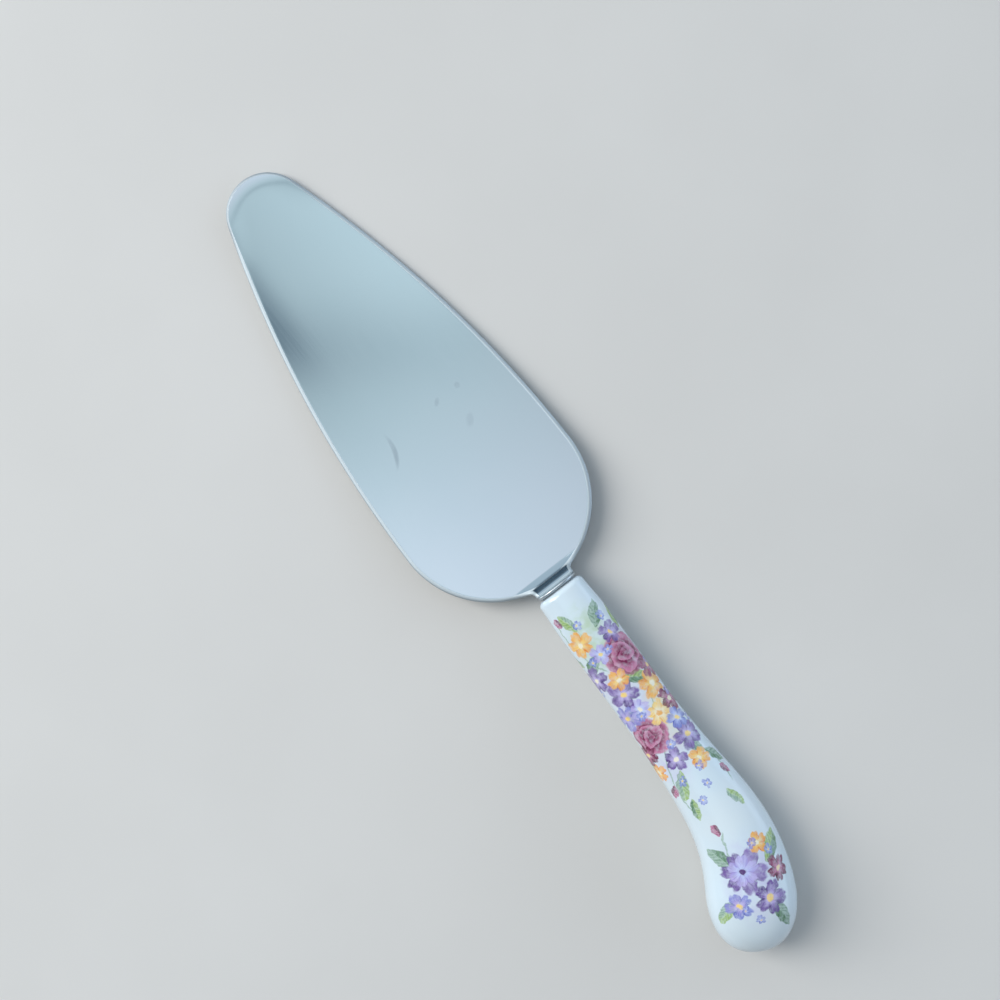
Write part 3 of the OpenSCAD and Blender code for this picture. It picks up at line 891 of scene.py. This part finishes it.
BLOSSOMS = [
    (15.5, 4.5, 0, 4.4, 5, ORANGE, YELLOW, CREAM), (17, -4.5, 24, 3.8, 5, PURPLE, LILAC, YELLOW),
    (26, 7.5, 12, 4.8, 5, PURPLE, LILAC, CREAM), (33, 3, 40, 5.4, 5, PURPLE, LILAC, YELLOW),
    (35, -5.5, 8, 5.0, 5, ORANGE, YELLOW, CREAM), (39, 6.5, 55, 4.4, 5, BLUE, LILAC, YELLOW),
    (42.5, -2, 20, 4.6, 5, YELLOW, CREAM, ORANGE), (51.5, -5, 66, 5.0, 5, PURPLE, LILAC, YELLOW),
    (55, 2, 31, 4.2, 5, PURPLE, LILAC, CREAM), (56, 9, 5, 3.6, 5, ORANGE, YELLOW, CREAM),
    (20.5, 1.5, 30, 3.4, 5, LILAC, SKY, YELLOW), (30.5, -8.5, 15, 4.2, 5, CRIMSON, PINK, YELLOW),
    (29, 1.5, 50, 3.6, 5, ORANGE, YELLOW, CREAM), (41, -7.5, 35, 4.4, 5, CRIMSON, PINK, CREAM),
    (46.5, -5.5, 10, 3.8, 5, BLUE, SKY, YELLOW), (38.5, 1.8, 22, 3.4, 5, LILAC, SKY, CREAM),
    (50.5, 8.5, 60, 4.2, 5, CRIMSON, PINK, YELLOW), (58.5, -3.5, 45, 3.6, 5, ORANGE, YELLOW, CREAM),
    (90.5, 2, 14, 7.4, 6, PURPLE, LILAC, PLUM), (90.5, 2, 44, 5.2, 6, LILAC, SKY, PLUM),
    (98.5, -4, 20, 5.6, 5, PURPLE, LILAC, YELLOW), (100, 4.5, 50, 4.6, 5, BLUE, LILAC, YELLOW),
    (84.5, -4.5, 5, 3.6, 5, ORANGE, YELLOW, CREAM), (92, -8, 40, 4.0, 5, CRIMSON, PINK, YELLOW),
]
FILLERS = [
    (10.5, 2), (12, -5), (20.5, -1), (21, 4.5), (29.5, -10), (30, 9.5), (39, -9), (40.5, 2.5),
    (48, -9.5), (51, 0.5), (60, -2), (61, 4), (65, -1), (68, 2.5), (84, -3), (87, -7), (101, 3),
    (104, -1),
]
FILLER_SIZE = 1.7
FILLER_PETALS = 5
STEM_COVER = 0.85
LEAF_COVER = 0.95
FLOWER_COVER = 1
FILLER_COVER = 0.9

# Glaze: a cool white that pools a little warmer and glossier, over prints that wobble, run thin in
# streaks and bleed into pale washes
PORCELAIN = (0.64, 0.75, 0.82, 1)
PORCELAIN_WARM = (0.67, 0.755, 0.80, 1)
GLAZE_FINENESS = 60
GLAZE_FADE = (0.3, 0.7)
GLAZE_ROUGH = (0.14, 0.2)
RIPPLE_FINENESS = 90
RIPPLE_BUMP = 0.08
RIPPLE_DEPTH = 0.0004
SHAKE_FINENESS = 0.5
SHAKE_MIDDLE = (0.5, 0.5, 0.5)
SHAKE_REACH = (1.7, 1.7, 0)
STREAK_FINENESS = 0.8
STREAK_COARSE = 0.65
STREAK_FADE = (0.38, 0.72)
STREAK_COVER = (1, 0.55)
SOAK_FINENESS = 0.3
SOAK_FADE = (0.35, 0.65)
SOAK_COVER = (0.12, 0.5)
glazed, tree, shader = new_material("printed_porcelain")
point = add(tree, "TexCoord").outputs["Object"]
skin = add(tree, "UVMap", uv_map="skin").outputs[0]
flat_place = add(tree, "VectorMath", {0: skin, "Scale": SKIN_TO_MM}, operation="SCALE").outputs[0]
shake_inputs = {"Vector": flat_place, "Scale": SHAKE_FINENESS, "Detail": 3}
shake = add(tree, "TexNoise", shake_inputs).outputs["Color"]
sway = add(tree, "VectorMath", {0: shake, 1: SHAKE_MIDDLE}, operation="SUBTRACT").outputs[0]
wobble = add(tree, "VectorMath", {0: sway, 1: SHAKE_REACH}, operation="MULTIPLY").outputs[0]
drawn_place = add(tree, "VectorMath", {0: flat_place, 1: wobble}, operation="ADD").outputs[0]
parts = add(tree, "SeparateXYZ", {0: drawn_place}).outputs
on_skin = {"Along": parts["X"], "Aside": parts["Y"]}
pooling = noise(tree, point, GLAZE_FINENESS, detail=3)
streaks = noise(tree, flat_place, STREAK_FINENESS, detail=5, Roughness=STREAK_COARSE)
colour = tint(tree, fade(tree, pooling, *GLAZE_FADE), PORCELAIN, PORCELAIN_WARM)
thin = fade(tree, streaks, *STREAK_FADE, *STREAK_COVER)


def lay_down(colour, group, place, cover, **inputs):
    """The colour with one motif printed over it."""
    motif = use(tree, group, **on_skin, PlaceAlong=place[0], PlaceAside=place[1], **inputs)
    printed = calc(tree, "MULTIPLY", motif["Mask"], calc(tree, "MULTIPLY", thin, cover))
    return tint(tree, printed, colour, motif["Colour"])


soak = fade(tree, noise(tree, flat_place, SOAK_FINENESS, detail=2), *SOAK_FADE, *SOAK_COVER)
for along, aside, turn, length, width, wash in WASHES:
    place = {"PlaceAlong": along, "PlaceAside": aside, "Turn": radians(turn)}
    damp = use(tree, smear, **on_skin, **place, Length=length, Width=width)["Mask"]
    colour = tint(tree, calc(tree, "MULTIPLY", damp, soak), colour, wash)
for along, aside, turn, size, bow in STEMS:
    shape = {"Turn": radians(turn), "Size": size, "Bow": bow}
    colour = lay_down(colour, stem, (along, aside), STEM_COVER, Green=GREY_GREEN, **shape)
greens = ((GREEN, GREY_GREEN), (GREY_GREEN, DEEP_GREEN), (GREEN, DEEP_GREEN))
for number, (along, aside, turn, size, width) in enumerate(LEAVES):
    green, shade = greens[number % len(greens)]
    shape = {"Turn": radians(turn), "Size": size, "Width": width}
    colour = lay_down(colour, leaf, (along, aside), LEAF_COVER, Green=green, Shade=shade, **shape)
for along, aside, turn, size, width in BUDS:
    shape = {"Turn": radians(turn), "Size": size, "Width": width}
    colour = lay_down(colour, leaf, (along, aside), LEAF_COVER, Green=PINK, Shade=CRIMSON, **shape)
for along, aside, turn, size in ROSES:
    shape = {"Turn": radians(turn), "Size": size}
    colour = lay_down(colour, rose, (along, aside), FLOWER_COVER, Rim=PINK, Fold=CRIMSON, **shape)
for along, aside, turn, size, petals, rim, heart, eye in BLOSSOMS:
    shape = {"Turn": radians(turn), "Size": size, "Petals": petals}
    inks = {"Rim": rim, "Heart": heart, "Eye": eye}
    colour = lay_down(colour, blossom, (along, aside), FLOWER_COVER, **inks, **shape)
for along, aside in FILLERS:
    shape = {"Turn": along, "Size": FILLER_SIZE, "Petals": FILLER_PETALS}
    inks = {"Rim": BLUE, "Heart": SKY, "Eye": YELLOW}
    colour = lay_down(colour, blossom, (along, aside), FILLER_COVER, **inks, **shape)
ripple = noise(tree, point, RIPPLE_FINENESS, detail=2)
wire(tree, shader.inputs["Base Color"], colour)
wire(tree, shader.inputs["Roughness"], fade(tree, pooling, *GLAZE_FADE, *GLAZE_ROUGH))
wire(tree, shader.inputs["Normal"], raised(tree, ripple, RIPPLE_BUMP, RIPPLE_DEPTH))
shader.inputs["IOR"].default_value = 1.5
shader.inputs["Coat Weight"].default_value = 0.2
shader.inputs["Coat Roughness"].default_value = 0.08
handle.data.materials.append(glazed)
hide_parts("handle")
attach(handle, "root")

# Table: a plain pale matt top that the server lies on, much wider than the view. A faint mottle is all
# that it shows, and it is stage and no part of the server.
TABLE_HALF = 6
TABLE_PALE = (0.66, 0.645, 0.62, 1)
TABLE_DEEP = (0.63, 0.615, 0.59, 1)
MOTTLE_FINENESS = 9
MOTTLE_FADE = (0.3, 0.7)
top = bmesh.new()
bmesh.ops.create_grid(top, x_segments=2, y_segments=2, size=TABLE_HALF)
table = new_piece("table_top", top)
matt, tree, shader = new_material("pale_matt_top")
point = add(tree, "TexCoord").outputs["Object"]
mottle = fade(tree, noise(tree, point, MOTTLE_FINENESS, detail=4), *MOTTLE_FADE)
wire(tree, shader.inputs["Base Color"], tint(tree, mottle, TABLE_PALE, TABLE_DEEP))
shader.inputs["Roughness"].default_value = 0.6
shader.inputs["Specular IOR Level"].default_value = 0.2
table.data.materials.append(matt)

# Camera: almost straight above the server, turned so that the blade points to the upper left and the
# butt lies at the lower right.
VIEW_CENTRE = Vector((0.0142, -0.0023, 0.004))
VIEW_HEIGHT = 0.5
VIEW_WIDTH = 0.2751
SENSOR_W = 36
view_right = Vector((-0.6126, -0.7904, 0)).normalized()
view_up = Vector((0, 0, 1)).cross(view_right)
lens = bpy.data.cameras.new("camera")
lens.sensor_width = SENSOR_W
lens.lens = SENSOR_W * VIEW_HEIGHT / VIEW_WIDTH
camera = bpy.data.objects.new("camera", lens)
bpy.context.scene.collection.objects.link(camera)
turn = Matrix((view_right, view_up, Vector((0, 0, 1)))).transposed()
camera.matrix_world = Matrix.Translation(VIEW_CENTRE + Vector((0, 0, VIEW_HEIGHT))) @ turn.to_4x4()
bpy.context.scene.camera = camera

# Light: a soft window-like panel at the upper left, and a room for the steel to mirror. It has a pale
# ceiling with one darker place, a bluish wall ahead of the tip, a cool strip low on the right, dim walls
# elsewhere and a plain horizon.
PANEL_ASIDE = 1.3
PANEL_AHEAD = 0.32
PANEL_UP = 1.22
PANEL_SIZE = (0.9, 1.6)
PANEL_WATTS = 30
PANEL_WHITE = (1.0, 0.99, 0.97)
panel_light = bpy.data.lights.new("window_panel", "AREA")
panel_light.shape = "RECTANGLE"
panel_light.size, panel_light.size_y = PANEL_SIZE
panel_light.energy = PANEL_WATTS
panel_light.color = PANEL_WHITE
panel = bpy.data.objects.new("window_panel", panel_light)
bpy.context.scene.collection.objects.link(panel)
panel.location = view_up * PANEL_AHEAD - view_right * PANEL_ASIDE + Vector((0, 0, PANEL_UP))
panel.rotation_mode = "QUATERNION"
panel.rotation_quaternion = (-panel.location).to_track_quat("-Z", "Y")

# The room by direction: colours, and between which slopes or heights one goes over into the next
WALLS = (0.18, 0.19, 0.21, 1)
COOL_WALL = (0.30, 0.36, 0.44, 1)
COOL_STRIP = (1.42, 1.74, 2.15, 1)
COOL_SIDE = (-0.8, -0.3)
STRIP_TOP = (0.35, 0.6)
FRONT_HIGH = (0.52, 0.63, 0.73, 1)
FRONT_LOW = (0.105, 0.16, 0.22, 1)
FRONT_RISE = (0.0, 0.42)
FRONT_SIDE = (0.12, 0.42)
HORIZON = (0.27, 0.29, 0.34, 1)
HORIZON_TOP = (0.01, 0.05)
CEILING_TIP = (0.66, 0.795, 0.85, 1)
CEILING_HEEL = (0.87, 0.93, 1.04, 1)
CEILING_DARK = (0.10, 0.16, 0.22, 1)
CEILING_EDGE = (0.89, 0.963)
CEILING_TURN = (0.148, 0.24)
FALL_TURN = (0.11, 0.2)
SIDE_FALL = (1.15, -0.7)
CORNER_ASIDE = (-0.125, -0.058)
CORNER_AHEAD = (0.106, 0.14)
CORNER_DEPTH = 0.68
BEAM_PLACE = 0.137
BEAM_SLANT = 0.13
BEAM_CORE = 0.003
BEAM_HALF_W = 0.024
BEAM_ASIDE = (-0.14, 0.14)
BEAM_DEPTH = (0.42, 0.2)
LEAST_RISE = 0.05
world = bpy.data.worlds.new("pale_room")
world.use_nodes = True
bpy.context.scene.world = world
tree = world.node_tree
way = add(tree, "TexCoord").outputs["Generated"]
parts = add(tree, "SeparateXYZ", {0: way}).outputs
stretch = calc(tree, "DIVIDE", 1, calc(tree, "MAXIMUM", parts["Z"], LEAST_RISE))
above = add(tree, "VectorMath", {0: way, "Scale": stretch}, operation="SCALE").outputs[0]
above_parts = add(tree, "SeparateXYZ", {0: above}).outputs
ahead, aside = above_parts["X"], above_parts["Y"]
ceiling = tint(tree, fade(tree, ahead, *CEILING_TURN), CEILING_TIP, CEILING_HEEL)
side_fall = fade(tree, ahead, *FALL_TURN, *SIDE_FALL)
evened = calc(tree, "MULTIPLY_ADD", aside, side_fall, 1)
ceiling = add(tree, "VectorMath", {0: ceiling, "Scale": evened}, operation="SCALE").outputs[0]
corner_side = fade(tree, aside, *CORNER_ASIDE, CORNER_DEPTH, 0)
corner = calc(tree, "MULTIPLY", corner_side, fade(tree, ahead, *CORNER_AHEAD, 1, 0))
beam_line = calc(tree, "MULTIPLY_ADD", aside, BEAM_SLANT, BEAM_PLACE)
from_beam = calc(tree, "ABSOLUTE", calc(tree, "SUBTRACT", ahead, beam_line))
beam_width = fade(tree, from_beam, BEAM_CORE, BEAM_HALF_W, 1, 0)
beam = calc(tree, "MULTIPLY", beam_width, fade(tree, aside, *BEAM_ASIDE, *BEAM_DEPTH))
ceiling = tint(tree, calc(tree, "ADD", corner, beam), ceiling, CEILING_DARK)
front = tint(tree, fade(tree, parts["Z"], *FRONT_RISE), FRONT_LOW, FRONT_HIGH)
cool_side = tint(tree, fade(tree, parts["Z"], *STRIP_TOP), COOL_STRIP, COOL_WALL)
walls = tint(tree, fade(tree, parts["Y"], *COOL_SIDE, 1, 0), WALLS, cool_side)
walls = tint(tree, fade(tree, parts["X"], *FRONT_SIDE), walls, front)
walls = tint(tree, fade(tree, parts["Z"], *HORIZON_TOP), HORIZON, walls)
colour = tint(tree, fade(tree, parts["Z"], *CEILING_EDGE), walls, ceiling)
wire(tree, tree.nodes["Background"].inputs["Color"], colour)
tree.nodes["Background"].inputs["Strength"].default_value = 1

# Plain view settings
bpy.context.scene.view_settings.view_transform = "Standard"
